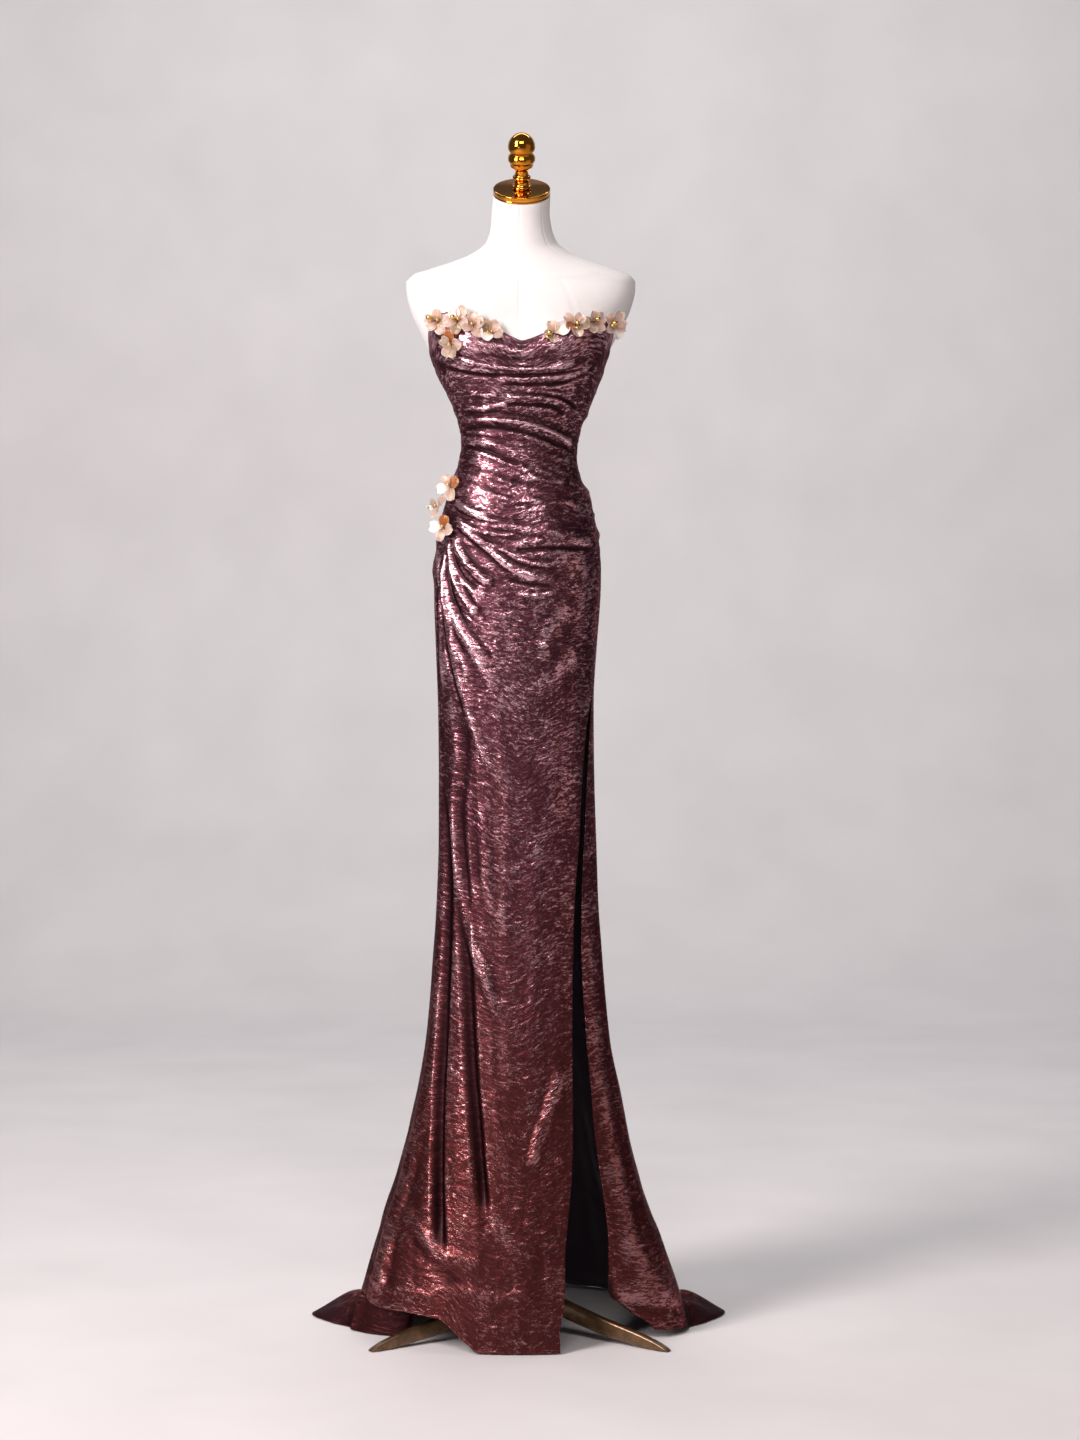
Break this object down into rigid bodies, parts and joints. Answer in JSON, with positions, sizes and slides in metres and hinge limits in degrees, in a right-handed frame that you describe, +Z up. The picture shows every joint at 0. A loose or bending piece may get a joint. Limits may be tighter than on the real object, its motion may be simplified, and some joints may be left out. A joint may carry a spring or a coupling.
{
  "type": "mermaid prom dress on a limbless dress form",
  "caption": "Strapless floor-length mermaid gown with draped front, side slit, small train and petal flowers, standing on a limbless dress form with a legged stand.",
  "frame": {"origin": "centre of the whole object's box, on the floor it stands on", "axes": "+Z up; the front of the dress faces -Y; +X is the viewer's right, the side with the slit"},
  "size_m": [0.686, 0.523, 1.9354],
  "materials": {
    "foil_cloth": "foil-printed crushed satin, dusty mauve with a metallic sheen",
    "petals": "glossy translucent champagne and amber petals round gold beads",
    "form_cover": "fine matt white jersey",
    "gilt": "polished gilt",
    "stand_bronze": "bronze lacquer, satin"
  },
  "bodies": {
    "root": {"dress_front": "foil_cloth", "dress_left_side": "foil_cloth", "dress_right_side": "foil_cloth", "dress_back_left": "foil_cloth", "dress_back_right": "foil_cloth", "back_zip": "foil_cloth", "flower_neck_left_1": "petals", "flower_neck_left_2": "petals", "flower_neck_left_3": "petals", "flower_neck_left_4": "petals", "flower_neck_left_5": "petals", "flower_neck_right_1": "petals", "flower_neck_right_2": "petals", "flower_neck_right_3": "petals", "flower_neck_right_4": "petals", "flower_hip_1": "petals", "flower_hip_2": "petals", "flower_hip_3": "petals", "form_torso": "form_cover", "neck_cap": "gilt", "neck_finial": "gilt", "stand_pole": "stand_bronze", "stand_hub": "stand_bronze", "leg_left": "stand_bronze", "leg_right": "stand_bronze", "leg_back": "stand_bronze"}
  },
  "joints": []
}
